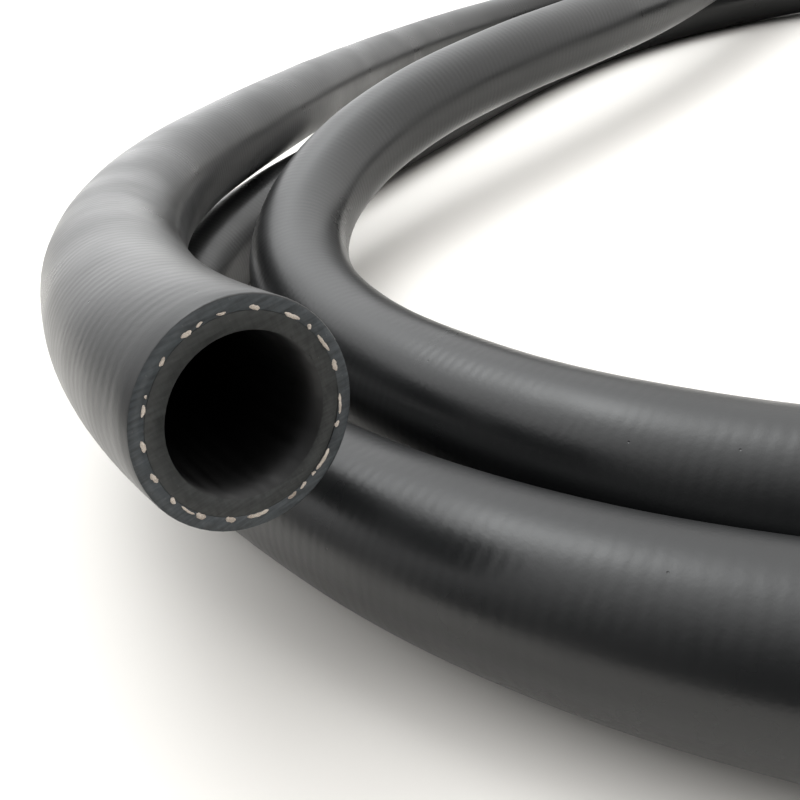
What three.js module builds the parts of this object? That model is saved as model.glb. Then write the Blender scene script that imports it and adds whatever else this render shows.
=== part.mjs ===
// A 4 m length of rubber fuel hose with a textile braid in its wall, lying on the floor in
// two and a half loose turns, with both ends cut square.
// Units are millimetres, +Z is up and the floor is z = 0. Both cut ends face -Y.
import * as THREE from 'three';

// The hose is built from its bore outwards: inner tube, braid, cover.
const hoseLength = 4000;
const boreDiameter = 19;
const tubeThickness = 1.65;
const braidThickness = 0.5;
const coverThickness = 1.45;
const layerClearance = 0.2;

const boreRadius = boreDiameter / 2;
const tubeOuterRadius = boreRadius + tubeThickness;
const braidInnerRadius = tubeOuterRadius + layerClearance;
const braidOuterRadius = braidInnerRadius + braidThickness;
const coverInnerRadius = braidOuterRadius + layerClearance;
const outsideRadius = coverInnerRadius + coverThickness;
const outsideDiameter = 2 * outsideRadius;

// How finely the round section and the long route are divided.
const sectionSides = 12;
const routeSteps = 100;
const lengthSamples = 1600;

// The route that the hose lies along, as the points that a smooth curve is drawn towards: x, y, and how many of its
// own diameters the hose is lifted off the floor there. A strand that crosses another one is lifted by a diameter
// or a little more. The route starts at the raised end, over the lowest turn, and ends on top of the inner turn.
const routePoints = [
  [-310, -135, 1.56],
  [-325, -67, 1.44],
  [-317, -5, 1.33],
  [-295, 56, 1.15],
  [-260, 103, 1.07],
  [-213, 140, 0.96],
  [-165, 180, 0.81],
  [-117, 220, 0.63],
  [-67, 256, 0.44],
  [-11, 283, 0.30],
  [50, 297, 0.15],
  [114, 295, 0.04],
  [176, 274, 0],
  [228, 233, 0],
  [259, 178, 0],
  [264, 118, 0],
  [245, 61, 0],
  [208, 12, 0],
  [161, -27, 0],
  [109, -59, 0],
  [54, -88, 0],
  [-2, -116, 0],
  [-59, -142, 0],
  [-121, -162, 0],
  [-185, -164, 0],
  [-240, -137, 0],
  [-268, -84, 0],
  [-277, -16, 0.04],
  [-266, 41, 0.19],
  [-229, 80, 0.56],
  [-175, 93, 0.89],
  [-111, 96, 0.93],
  [-46, 100, 0.85],
  [17, 113, 0.89],
  [78, 131, 1.00],
  [142, 147, 1.11],
  [208, 151, 1.15],
  [270, 131, 1.04],
  [314, 83, 0.74],
  [326, 17, 0.33],
  [310, -49, 0.07],
  [276, -109, 0],
  [233, -164, 0],
  [180, -211, 0],
  [122, -251, 0],
  [60, -282, 0],
  [-3, -296, 0],
  [-67, -296, 0],
  [-128, -281, 0],
  [-179, -251, 0],
  [-222, -206, 0],
  [-261, -150, 0],
  [-297, -90, 0.04],
  [-306, -35, 0],
  [-308, 24, 0],
  [-288, 77, 0],
  [-243, 116, 0],
  [-182, 140, 0],
  [-115, 156, 0],
  [-48, 172, 0],
  [18, 177, 0],
  [74, 157, 0],
  [112, 111, 0],
  [128, 51, 0.30],
  [129, -14, 0.85],
  [128, -79, 1.26],
  [129, -143, 1.26],
];

// A uniform cubic B-spline: each stretch of the curve is a blend of four neighbouring points.
class RouteCurve extends THREE.Curve {
  constructor(points) {
    super();
    this.points = points;
    this.arcLengthDivisions = lengthSamples;
  }

  getPoint(t, target = new THREE.Vector3()) {
    const stretches = this.points.length - 3;
    const stretch = Math.min(Math.floor(t * stretches), stretches - 1);
    const u = t * stretches - stretch;
    const weights = [
      (1 - u) ** 3,
      3 * u ** 3 - 6 * u ** 2 + 4,
      -3 * u ** 3 + 3 * u ** 2 + 3 * u + 1,
      u ** 3,
    ];
    target.set(0, 0, 0);
    weights.forEach((weight, i) => target.addScaledVector(this.points[stretch + i], weight / 6));
    return target;
  }
}

// The first part of a route, of a given length. Past the route's own end it runs straight on.
class CutLength extends THREE.Curve {
  constructor(route, length) {
    super();
    this.route = route;
    this.length = length;
    this.arcLengthDivisions = lengthSamples;
  }

  getPoint(t, target = new THREE.Vector3()) {
    const routeLength = this.route.getLength();
    const distance = t * this.length;
    this.route.getPointAt(Math.min(distance / routeLength, 1), target);
    const beyond = Math.max(distance - routeLength, 0);
    return target.addScaledVector(this.route.getTangentAt(1), beyond);
  }
}

// The route's points as centres of the hose, which rests on its outside.
function hoseCentreline() {
  const centres = routePoints.map(
    ([x, y, lift]) => new THREE.Vector3(x, y, outsideRadius + lift * outsideDiameter),
  );
  return new CutLength(new RouteCurve(centres), hoseLength);
}

// The corners of a round section, the first of them on its x axis.
function sectionCorners(radius) {
  return Array.from({ length: sectionSides }, (_, i) => {
    const angle = (2 * Math.PI * i) / sectionSides;
    return new THREE.Vector2(radius * Math.cos(angle), radius * Math.sin(angle));
  });
}

// A ring section between two radii, swept along the hose.
function sweptLayer(name, innerRadius, outerRadius, centreline, colour, roughness) {
  const section = new THREE.Shape(sectionCorners(outerRadius));
  section.holes.push(new THREE.Path(sectionCorners(innerRadius)));
  const geometry = new THREE.ExtrudeGeometry(section, {
    steps: routeSteps,
    extrudePath: centreline,
    bevelEnabled: false,
  });
  const material = new THREE.MeshStandardMaterial({ color: colour, roughness, metalness: 0 });
  const mesh = new THREE.Mesh(geometry, material);
  mesh.name = name;
  return mesh;
}

function fuelHose() {
  const centreline = hoseCentreline();
  const hose = new THREE.Group();
  hose.add(sweptLayer('outer_cover', coverInnerRadius, outsideRadius, centreline, 0x1b1c1e, 0.45));
  hose.add(sweptLayer('textile_braid', braidInnerRadius, braidOuterRadius, centreline, 0xb8a493, 0.95));
  hose.add(sweptLayer('inner_tube', boreRadius, tubeOuterRadius, centreline, 0x1a1c1b, 0.6));
  return hose;
}

export default fuelHose();
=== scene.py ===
import math

import bmesh
import bpy
import numpy as np
from mathutils import Euler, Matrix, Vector


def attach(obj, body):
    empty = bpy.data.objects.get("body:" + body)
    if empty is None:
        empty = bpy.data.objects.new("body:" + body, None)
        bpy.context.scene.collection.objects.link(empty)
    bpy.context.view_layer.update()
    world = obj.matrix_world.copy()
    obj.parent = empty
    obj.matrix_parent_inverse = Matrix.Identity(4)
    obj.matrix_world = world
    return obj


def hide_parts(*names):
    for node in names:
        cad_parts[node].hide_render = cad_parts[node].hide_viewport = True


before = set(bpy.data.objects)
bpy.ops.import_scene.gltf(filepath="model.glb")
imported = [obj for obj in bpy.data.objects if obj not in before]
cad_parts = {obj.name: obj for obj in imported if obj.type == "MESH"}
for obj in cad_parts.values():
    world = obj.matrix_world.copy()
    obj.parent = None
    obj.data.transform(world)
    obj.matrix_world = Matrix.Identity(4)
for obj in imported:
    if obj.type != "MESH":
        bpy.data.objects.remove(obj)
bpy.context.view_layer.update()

MM = 0.001

# The hose, as in the part's source.
HOSE_LENGTH = 4000 * MM
BORE_RADIUS = 9.5 * MM
TUBE_THICKNESS = 1.65 * MM
LAYER_CLEARANCE = 0.2 * MM
BRAID_THICKNESS = 0.5 * MM
COVER_THICKNESS = 1.45 * MM
TUBE_OUTER_RADIUS = BORE_RADIUS + TUBE_THICKNESS
BRAID_RADIUS = TUBE_OUTER_RADIUS + LAYER_CLEARANCE + BRAID_THICKNESS / 2
HOSE_RADIUS = BRAID_RADIUS + BRAID_THICKNESS / 2 + LAYER_CLEARANCE + COVER_THICKNESS

# The points that the route is drawn towards: x and y in metres, and the lift in hose diameters.
ROUTE = [
    (-0.310, -0.135, 1.56),
    (-0.325, -0.067, 1.44),
    (-0.317, -0.005, 1.33),
    (-0.295, 0.056, 1.15),
    (-0.260, 0.103, 1.07),
    (-0.213, 0.140, 0.96),
    (-0.165, 0.180, 0.81),
    (-0.117, 0.220, 0.63),
    (-0.067, 0.256, 0.44),
    (-0.011, 0.283, 0.30),
    (0.050, 0.297, 0.15),
    (0.114, 0.295, 0.04),
    (0.176, 0.274, 0),
    (0.228, 0.233, 0),
    (0.259, 0.178, 0),
    (0.264, 0.118, 0),
    (0.245, 0.061, 0),
    (0.208, 0.012, 0),
    (0.161, -0.027, 0),
    (0.109, -0.059, 0),
    (0.054, -0.088, 0),
    (-0.002, -0.116, 0),
    (-0.059, -0.142, 0),
    (-0.121, -0.162, 0),
    (-0.185, -0.164, 0),
    (-0.240, -0.137, 0),
    (-0.268, -0.084, 0),
    (-0.277, -0.016, 0.04),
    (-0.266, 0.041, 0.19),
    (-0.229, 0.080, 0.56),
    (-0.175, 0.093, 0.89),
    (-0.111, 0.096, 0.93),
    (-0.046, 0.100, 0.85),
    (0.017, 0.113, 0.89),
    (0.078, 0.131, 1.00),
    (0.142, 0.147, 1.11),
    (0.208, 0.151, 1.15),
    (0.270, 0.131, 1.04),
    (0.314, 0.083, 0.74),
    (0.326, 0.017, 0.33),
    (0.310, -0.049, 0.07),
    (0.276, -0.109, 0),
    (0.233, -0.164, 0),
    (0.180, -0.211, 0),
    (0.122, -0.251, 0),
    (0.060, -0.282, 0),
    (-0.003, -0.296, 0),
    (-0.067, -0.296, 0),
    (-0.128, -0.281, 0),
    (-0.179, -0.251, 0),
    (-0.222, -0.206, 0),
    (-0.261, -0.150, 0),
    (-0.297, -0.090, 0.04),
    (-0.306, -0.035, 0),
    (-0.308, 0.024, 0),
    (-0.288, 0.077, 0),
    (-0.243, 0.116, 0),
    (-0.182, 0.140, 0),
    (-0.115, 0.156, 0),
    (-0.048, 0.172, 0),
    (0.018, 0.177, 0),
    (0.074, 0.157, 0),
    (0.112, 0.111, 0),
    (0.128, 0.051, 0.30),
    (0.129, -0.014, 0.85),
    (0.128, -0.079, 1.26),
    (0.129, -0.143, 1.26),
]
SAMPLES_PER_STRETCH = 60

# Rings along the hose, corners round it, and how far its edges are rounded.
SIDES = 60
FINE_STEP = 4 * MM
COARSE_STEP = 8 * MM
COVER_RIM = 0.25 * MM
TUBE_RIM = 0.01 * MM
BRAID_RIM = 0.002 * MM
# Corners within this depth of a sleeve's outermost radius may wander from it.
WANDERING_DEPTH = 0.1 * MM

# In the cut faces the braid shows as a thin slit between cover and tube, with yarn ends across it.
SLIT_HALF_WIDTH = 0.02 * MM
BRAID_HALF_WIDTH = 0.01 * MM
BRAID_RECESS = 0.4 * MM
OPEN_SLIT_DEGREES = (97, 163)
OPEN_SLIT_WIDTH = 0.12 * MM
OPEN_SLIT_DEPTH = 3 * MM
YARN_RADIUS = 11.85 * MM
YARN_WAVER = 0.07 * MM
YARN_PROUD = 0.12 * MM
YARN_EDGE_PROUD = 0.03 * MM
YARN_DEPTH = 0.6 * MM
YARN_STEP_DEGREES = 1.2

# The yarn ends in the raised face: clock angles in degrees from the top, and the thickness in millimetres.
RAISED_YARN_ENDS = [
    (4, 9, 0.30), (22, 28, 0.50), (43, 53, 0.45), (59, 62, 0.50), (68, 80, 0.40), (86, 93, 0.60),
    (107, 119, 0.35), (123, 127, 0.50), (140, 154, 0.45), (155, 158, 0.40), (163, 168, 0.40),
    (171, 177, 0.45), (190, 203, 0.45), (210, 216, 0.60), (228, 234, 0.60), (235, 244, 0.25),
    (248, 252, 0.50), (264, 270, 0.50), (282, 288, 0.50), (300, 306, 0.40), (309, 311, 0.25),
    (326, 331, 0.40), (343, 349, 0.50), (352, 356, 0.30),
]
INNER_YARN_COUNT = 24
INNER_YARN_SEED = 7

# The ribs across the rubber, and the colours from dark to pale, with the specks' last.
RIB_PITCH = 2.1 * MM
COVER_COLOURS = ((0.006, 0.0065, 0.007), (0.011, 0.0115, 0.012), (0.16, 0.155, 0.145))
COVER_CUT_COLOURS = ((0.022, 0.026, 0.029), (0.05, 0.058, 0.064), (0.12, 0.12, 0.12))
TUBE_COLOURS = ((0.004, 0.004, 0.004), (0.009, 0.009, 0.0095))
TUBE_CUT_COLOURS = ((0.012, 0.013, 0.0125), (0.026, 0.028, 0.027), (0.07, 0.07, 0.065))
BRAID_COLOURS = ((0.16, 0.13, 0.1), (0.5, 0.42, 0.34))
BRAID_CUT_COLOURS = ((0.02, 0.018, 0.016), (0.08, 0.07, 0.06))
YARN_END_COLOURS = ((0.26, 0.21, 0.17), (0.72, 0.65, 0.58))

# The camera: where it stands, the point that it looks at, and its tilt.
CAMERA_AT = (-0.3435, -0.14025, 0.09437)
CAMERA_AIM = (-0.26663, -0.00481, 0.0)
CAMERA_ROLL = math.radians(14.53)
CAMERA_LENS = 35.32
CAMERA_SENSOR = 36.0

# The light round the hose: the bearing from +Y towards +X and the height, both in degrees, the strength,
# the narrowness and the colour.
BASE_LIGHT = 0.12
SOFT_LIGHTS = {
    "window_side": (110, 18, 1.7, 2, (1.0, 0.99, 0.97)),
    "back_sky": (30, 55, 1.8, 4, (0.97, 0.99, 1.0)),
    "skylight": (22, 60, 6.0, 40, (0.98, 1.0, 1.0)),
    "back_wall": (15, 4, 1.6, 8, (1.0, 1.0, 1.0)),
    "left_back": (315, 42, 1.3, 8, (1.0, 1.0, 1.0)),
    "ceiling": (0, 90, 1.0, 6, (1.0, 1.0, 1.0)),
}
FLOOR_COLOUR = (0.88, 0.855, 0.815)
FLOOR_HALF_SIZE = 12


def route_samples():
    """Closely spaced points on the route's uniform cubic B-spline, with their distances along it."""
    centres = np.array([(x, y, HOSE_RADIUS + lift * 2 * HOSE_RADIUS) for x, y, lift in ROUTE])
    u = np.linspace(0, 1, SAMPLES_PER_STRETCH, endpoint=False)
    weights = np.array([(1 - u) ** 3, 3 * u**3 - 6 * u**2 + 4, -3 * u**3 + 3 * u**2 + 3 * u + 1, u**3]) / 6
    points = np.vstack([weights.T @ centres[i:i + 4] for i in range(len(centres) - 3)])
    steps = np.linalg.norm(np.diff(points, axis=0), axis=1)
    return points, np.concatenate([[0.0], np.cumsum(steps)])


def unit(vectors):
    return vectors / np.linalg.norm(vectors, axis=-1, keepdims=True)


class Hose:
    """The hose's centreline, with an upright pair of directions across it that never twists."""

    def __init__(self):
        self.points, self.distances = route_samples()
        self.tangents = unit(np.gradient(self.points, axis=0))
        up = np.array([0.0, 0.0, 1.0])
        self.tops = unit(up - self.tangents * (self.tangents @ up)[:, None])
        self.sides = np.cross(self.tangents, self.tops)

    def along(self, values, distance):
        return np.stack([np.interp(distance, self.distances, values[:, k]) for k in range(3)], axis=-1)

    def centre(self, distance):
        return self.along(self.points, distance)

    def directions(self, distance):
        """The directions up across the hose, sideways across it, and along it."""
        return tuple(unit(self.along(v, distance)) for v in (self.tops, self.sides, self.tangents))


def smooth_object(name, bm):
    mesh = bpy.data.meshes.new(name)
    bm.to_mesh(mesh)
    bm.free()
    mesh.shade_smooth()
    piece = bpy.data.objects.new(name, mesh)
    bpy.context.collection.objects.link(piece)
    return piece


def sleeve(name, hose, loop, cut_faces, wander=None):
    """A closed sleeve round the hose's centreline: loop holds (distance, radius) once round its wall.

    cut_faces holds the places in the loop whose band of faces is the flat cut at an end. wander gives
    what the outermost radius gains at a distance and an angle."""
    distance = np.array([d for d, _ in loop])
    radius = np.array([r for _, r in loop])
    angle = 2 * math.pi * np.arange(SIDES) / SIDES
    top, side, _ = hose.directions(distance)
    reach = np.repeat(radius[:, None], SIDES, axis=1)
    if wander is not None:
        outermost = radius > radius.max() - WANDERING_DEPTH
        reach = reach + np.where(outermost[:, None], wander(distance[:, None], angle[None]), 0)
    across = top[:, None] * np.cos(angle)[None, :, None] + side[:, None] * np.sin(angle)[None, :, None]
    places = hose.centre(distance)[:, None] + across * reach[..., None]
    bm = bmesh.new()
    verts = [[bm.verts.new(p) for p in ring] for ring in places]
    uv = bm.loops.layers.uv.new("along")
    for i in range(len(loop)):
        j = (i + 1) % len(loop)
        for k in range(SIDES):
            m = (k + 1) % SIDES
            face = bm.faces.new((verts[i][k], verts[j][k], verts[j][m], verts[i][m]))
            face.material_index = 1 if i in cut_faces else 0
            face.smooth = i not in cut_faces
            ends = ((i, k), (j, k), (j, k + 1), (i, k + 1))
            for corner, (row, column) in zip(face.loops, ends):
                corner[uv].uv = (distance[row], column / SIDES)
    bmesh.ops.recalc_face_normals(bm, faces=bm.faces)
    return smooth_object(name, bm)


def ring_stops(step):
    """Evenly spaced distances strictly between the two ends."""
    count = round(HOSE_LENGTH / step)
    return np.linspace(0, HOSE_LENGTH, count + 1)[1:-1]


def two_walled(inner, outer, rim, recess=0, outside_step=COARSE_STEP):
    """The loop of a sleeve's wall between two radii, and which of its bands are the cuts at the ends."""
    first, last = recess, HOSE_LENGTH - recess
    loop = [
        (first, inner),
        (first, outer - rim),
        (first + 0.3 * rim, outer - 0.3 * rim),
        (first + rim, outer),
    ]
    cuts = {0}
    loop += [(d, outer) for d in ring_stops(outside_step)]
    loop += [(last - rim, outer), (last - 0.3 * rim, outer - 0.3 * rim), (last, outer - rim)]
    cuts.add(len(loop) - 1)
    loop.append((last, inner))
    loop += [(d, inner) for d in ring_stops(COARSE_STEP)[::-1]]
    return loop, cuts


def surface_wander(distance, angle):
    """The few hundredths of a millimetre by which the moulded outside falls short of its radius."""
    return MM * (
        0.05 * np.sin(distance / 0.011 + 2.0 * np.sin(distance / 0.05) + angle)
        + 0.04 * np.sin(distance / 0.023 - 2 * angle + 1.3)
        + 0.03 * np.sin(distance / 0.0067 + 3 * angle)
        - 0.12
    )


def open_slit(distance, angle):
    """What the tube's outside loses where the two rubbers have parted at the raised end."""
    start, stop = (math.radians(a) for a in OPEN_SLIT_DEGREES)
    share = np.clip((angle - start) / (stop - start), 0, 1)
    return -OPEN_SLIT_WIDTH * np.sin(math.pi * share) * (distance < OPEN_SLIT_DEPTH)


def make_cover(hose):
    inner = BRAID_RADIUS + SLIT_HALF_WIDTH
    loop, cuts = two_walled(inner, HOSE_RADIUS, COVER_RIM, outside_step=FINE_STEP)
    return sleeve("cover", hose, loop, cuts, surface_wander)


def make_braid(hose):
    inner, outer = BRAID_RADIUS - BRAID_HALF_WIDTH, BRAID_RADIUS + BRAID_HALF_WIDTH
    loop, cuts = two_walled(inner, outer, BRAID_RIM, recess=BRAID_RECESS)
    return sleeve("braid_sleeve", hose, loop, cuts)


def make_tube(hose):
    loop, cuts = two_walled(BORE_RADIUS, BRAID_RADIUS - SLIT_HALF_WIDTH, TUBE_RIM)
    return sleeve("tube", hose, loop, cuts, open_slit)


def yarn_section(start, along, thickness):
    """The corners, as (radius, depth), across a bundle of yarn at a place from -1 to 1 along it."""
    fullness = math.sqrt(max(1 - along**4, 0.08)) * (1 + 0.15 * math.sin(9 * along + start))
    half = 0.5 * thickness * MM * fullness
    middle = YARN_RADIUS + YARN_WAVER * math.sin(start + 2 * along)
    return [
        (middle - half, -YARN_EDGE_PROUD),
        (middle, -YARN_PROUD * (1 - 0.4 * along**2)),
        (middle + half, -YARN_EDGE_PROUD),
        (middle + 0.8 * half, YARN_DEPTH),
        (middle - 0.8 * half, YARN_DEPTH),
    ]


def add_yarn_end(bm, corner_at, start, stop, thickness):
    """One cut bundle of yarn: a small lens along the slit, proud of the cut face."""
    count = max(4, round((stop - start) / YARN_STEP_DEGREES))
    rows = []
    for i in range(count + 1):
        clock = math.radians(start + (stop - start) * i / count)
        section = yarn_section(start, 2 * i / count - 1, thickness)
        rows.append([bm.verts.new(corner_at(clock, radius, depth)) for radius, depth in section])
    corners = len(rows[0])
    for near, far in zip(rows, rows[1:]):
        for k in range(corners):
            m = (k + 1) % corners
            bm.faces.new((near[k], far[k], far[m], near[m]))
    bm.faces.new(rows[0])
    bm.faces.new(rows[-1][::-1])


def make_yarn_ends(name, hose, distance, inward, arcs):
    """The yarn ends in the cut face at a distance. inward is 1 where the hose runs on from it, else -1."""
    centre = hose.centre(distance)
    top, side, tangent = hose.directions(distance)

    def corner_at(clock, radius, depth):
        across = math.cos(clock) * top + math.sin(clock) * side
        return centre + radius * across + inward * depth * tangent

    bm = bmesh.new()
    for start, stop, thickness in arcs:
        add_yarn_end(bm, corner_at, start, stop, thickness)
    bmesh.ops.recalc_face_normals(bm, faces=bm.faces)
    return smooth_object(name, bm)


def inner_yarn_arcs():
    """Yarn ends for the other cut face, scattered in the same way."""
    chance = np.random.default_rng(INNER_YARN_SEED)
    pitch = 360 / INNER_YARN_COUNT
    arcs = []
    for i in range(INNER_YARN_COUNT):
        start = i * pitch + chance.uniform(0, 5)
        stop = i * pitch + chance.uniform(7, 13)
        arcs.append((start, stop, chance.uniform(0.3, 0.55)))
    return arcs


class Nodes:
    """Short ways to add shader nodes to a tree."""

    def __init__(self, tree):
        self.tree = tree

    def add(self, kind):
        return self.tree.nodes.new(kind)

    def put(self, socket, value):
        """Link a socket to another one, or give it a value."""
        if isinstance(value, bpy.types.NodeSocket):
            self.tree.links.new(value, socket)
        else:
            socket.default_value = value

    def number(self, operation, *values):
        node = self.add("ShaderNodeMath")
        node.operation = operation
        for socket, value in zip(node.inputs, values):
            self.put(socket, value)
        return node.outputs[0]

    def vector(self, operation, first, second):
        node = self.add("ShaderNodeVectorMath")
        node.operation = operation
        self.put(node.inputs[0], first)
        self.put(node.inputs[1], second)
        return node.outputs["Value" if operation == "DOT_PRODUCT" else "Vector"]


class Surface(Nodes):
    """A material and the patterns that these materials are made of."""

    def __init__(self, name):
        self.material = bpy.data.materials.new(name)
        self.material.use_nodes = True
        super().__init__(self.material.node_tree)
        self.shader = self.tree.nodes["Principled BSDF"]
        self.place = self.add("ShaderNodeTexCoord").outputs["Object"]

    def along(self):
        """As a vector, the distance along the hose in metres and the share of the way round it."""
        node = self.add("ShaderNodeUVMap")
        node.uv_map = "along"
        return node.outputs["UV"]

    def parts(self, vector):
        node = self.add("ShaderNodeSeparateXYZ")
        self.put(node.inputs[0], vector)
        return node.outputs

    def noise(self, vector, scale):
        node = self.add("ShaderNodeTexNoise")
        self.put(node.inputs["Vector"], vector)
        node.inputs["Scale"].default_value = scale
        node.inputs["Detail"].default_value = 4.0
        return node.outputs["Fac"]

    def spots(self, cells_per_metre, size):
        """1 in scattered round spots of a size in metres, 0 elsewhere."""
        node = self.add("ShaderNodeTexVoronoi")
        self.put(node.inputs["Vector"], self.place)
        node.inputs["Scale"].default_value = cells_per_metre
        edge = size * cells_per_metre
        return self.between(node.outputs["Distance"], (edge, 0.4 * edge), (0.0, 1.0))

    def between(self, value, span, results):
        """The value's place in a span, carried over to the span of the results and held inside it."""
        node = self.add("ShaderNodeMapRange")
        self.put(node.inputs["Value"], value)
        names = ("From Min", "From Max", "To Min", "To Max")
        for name, number in zip(names, (*span, *results)):
            node.inputs[name].default_value = number
        return node.outputs["Result"]

    def colour(self, share, first, second):
        """A blend of two colours, of which the first may be a socket."""
        node = self.add("ShaderNodeMix")
        node.data_type = "RGBA"
        self.put(node.inputs[0], share)
        self.put(node.inputs[6], first if isinstance(first, bpy.types.NodeSocket) else (*first, 1))
        self.put(node.inputs[7], (*second, 1))
        return node.outputs[2]

    def relief(self, height_in_mm):
        node = self.add("ShaderNodeBump")
        node.inputs["Distance"].default_value = MM
        self.put(node.inputs["Height"], height_in_mm)
        self.put(self.shader.inputs["Normal"], node.outputs["Normal"])

    def finish(self, colour, roughness):
        self.put(self.shader.inputs["Base Color"], colour)
        self.put(self.shader.inputs["Roughness"], roughness)
        return self.material


def cover_outside():
    """Satin black rubber with the fine ribs that the braid leaves, pits and dusty specks."""
    surface = Surface("cover_outside")
    distance, way_round, _ = surface.parts(surface.along())
    cloud = surface.noise(surface.place, 40)
    grain = surface.noise(surface.place, 1100)
    patches = surface.noise(surface.place, 130)
    turns = surface.number("ADD", surface.number("DIVIDE", distance, RIB_PITCH), way_round)
    phase = surface.number("ADD", turns, surface.number("MULTIPLY", patches, 0.8))
    rib = surface.number("SINE", surface.number("MULTIPLY", phase, 2 * math.pi))
    ribs = surface.number("MULTIPLY", rib, surface.between(patches, (0.35, 0.65), (0.003, 0.011)))
    pits = surface.number("MULTIPLY", surface.spots(170, 0.22 * MM), -0.05)
    fine = surface.number("MULTIPLY", grain, 0.022)
    surface.relief(surface.number("ADD", surface.number("ADD", ribs, pits), fine))
    dark, pale, dust = COVER_COLOURS
    dusty = surface.number("MULTIPLY", surface.spots(110, 0.16 * MM), 0.5)
    colour = surface.colour(dusty, surface.colour(cloud, dark, pale), dust)
    return surface.finish(colour, surface.between(cloud, (0.35, 0.65), (0.27, 0.38)))


def cut_rubber(name, colours):
    """Rubber as a knife leaves it: matt, with fine marks across the face and a few torn specks."""
    surface = Surface(name)
    marks = surface.noise(surface.vector("MULTIPLY", surface.place, (350, 350, 2600)), 1)
    crossing = surface.noise(surface.vector("MULTIPLY", surface.place, (1900, 1900, 500)), 1)
    specks = surface.spots(900, 0.12 * MM)
    deep = surface.number("MULTIPLY", marks, 0.05)
    shallow = surface.number("MULTIPLY", crossing, 0.03)
    torn = surface.number("MULTIPLY", specks, -0.04)
    surface.relief(surface.number("ADD", surface.number("ADD", deep, shallow), torn))
    dark, pale, smear = colours
    streaked = surface.colour(surface.between(marks, (0.35, 0.68), (0.0, 1.0)), dark, pale)
    colour = surface.colour(surface.number("MULTIPLY", specks, 0.35), streaked, smear)
    return surface.finish(colour, surface.between(crossing, (0.3, 0.7), (0.5, 0.75)))


def tube_wall():
    """The smooth black bore, with faint streaks along it."""
    surface = Surface("tube_wall")
    streaks = surface.noise(surface.vector("MULTIPLY", surface.along(), (30, 40, 0)), 1)
    grain = surface.noise(surface.place, 700)
    surface.relief(surface.number("MULTIPLY", grain, 0.015))
    colour = surface.colour(streaks, *TUBE_COLOURS)
    return surface.finish(colour, surface.between(streaks, (0.35, 0.65), (0.42, 0.6)))


def yarn(name, colours):
    """Undyed twisted yarn: matt, with fibres paler and darker."""
    surface = Surface(name)
    fibres = surface.noise(surface.place, 9000)
    tint = surface.noise(surface.place, 400)
    surface.relief(surface.number("MULTIPLY", fibres, 0.06))
    blend = surface.number("MULTIPLY", surface.number("ADD", fibres, tint), 0.5)
    colour = surface.colour(surface.between(blend, (0.35, 0.65), (0.0, 1.0)), *colours)
    return surface.finish(colour, surface.between(tint, (0.3, 0.7), (0.8, 0.95)))


def make_camera():
    data = bpy.data.cameras.new("camera")
    data.sensor_width = CAMERA_SENSOR
    data.lens = CAMERA_LENS
    data.clip_start = 0.005
    data.clip_end = 50
    camera = bpy.data.objects.new("camera", data)
    camera.location = CAMERA_AT
    aim = Vector(CAMERA_AIM) - Vector(CAMERA_AT)
    turn = aim.to_track_quat("-Z", "Y") @ Euler((0, 0, -CAMERA_ROLL)).to_quaternion()
    camera.rotation_euler = turn.to_euler()
    bpy.context.collection.objects.link(camera)
    bpy.context.scene.camera = camera


def make_floor():
    bm = bmesh.new()
    bmesh.ops.create_grid(bm, x_segments=1, y_segments=1, size=FLOOR_HALF_SIZE)
    floor = smooth_object("floor", bm)
    material = bpy.data.materials.new("floor_white")
    material.use_nodes = True
    shader = material.node_tree.nodes["Principled BSDF"]
    shader.inputs["Base Color"].default_value = (*FLOOR_COLOUR, 1)
    shader.inputs["Roughness"].default_value = 0.8
    floor.data.materials.append(material)


def make_world():
    """A dim room with soft lights: each is brightest in one direction and fades away from it."""
    world = bpy.data.worlds.new("studio")
    world.use_nodes = True
    nodes = Nodes(world.node_tree)
    direction = nodes.add("ShaderNodeTexCoord").outputs["Generated"]
    total = (BASE_LIGHT, BASE_LIGHT, BASE_LIGHT)
    for bearing, height, strength, narrowness, colour in SOFT_LIGHTS.values():
        bearing, height = math.radians(bearing), math.radians(height)
        level = math.cos(height)
        towards = (math.sin(bearing) * level, math.cos(bearing) * level, math.sin(height))
        closeness = nodes.number("MAXIMUM", nodes.vector("DOT_PRODUCT", direction, towards), 0.0)
        glow = nodes.number("MULTIPLY", nodes.number("POWER", closeness, narrowness), strength)
        total = nodes.vector("ADD", nodes.vector("MULTIPLY", glow, colour), total)
    nodes.put(nodes.tree.nodes["Background"].inputs["Color"], total)
    bpy.context.scene.world = world


hose = Hose()
make_camera()
cover = make_cover(hose)
braid = make_braid(hose)
tube = make_tube(hose)
raised_yarns = make_yarn_ends("raised_yarn_ends", hose, 0.0, 1, RAISED_YARN_ENDS)
inner_yarns = make_yarn_ends("inner_yarn_ends", hose, HOSE_LENGTH, -1, inner_yarn_arcs())

# A sleeve's first material is for its walls and the second for its cut faces.
cover.data.materials.append(cover_outside())
cover.data.materials.append(cut_rubber("cover_cut", COVER_CUT_COLOURS))
tube.data.materials.append(tube_wall())
tube.data.materials.append(cut_rubber("tube_cut", TUBE_CUT_COLOURS))
braid.data.materials.append(yarn("braid_yarn", BRAID_COLOURS))
braid.data.materials.append(yarn("braid_cut", BRAID_CUT_COLOURS))
for yarns in (raised_yarns, inner_yarns):
    yarns.data.materials.append(yarn("yarn_ends", YARN_END_COLOURS))

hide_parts("outer_cover")
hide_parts("textile_braid")
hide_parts("inner_tube")
for piece in (cover, braid, tube, raised_yarns, inner_yarns):
    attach(piece, "root")
path = hose.centre(np.linspace(0, HOSE_LENGTH, 501))

make_floor()
make_world()
bpy.context.scene.view_settings.view_transform = "Standard"
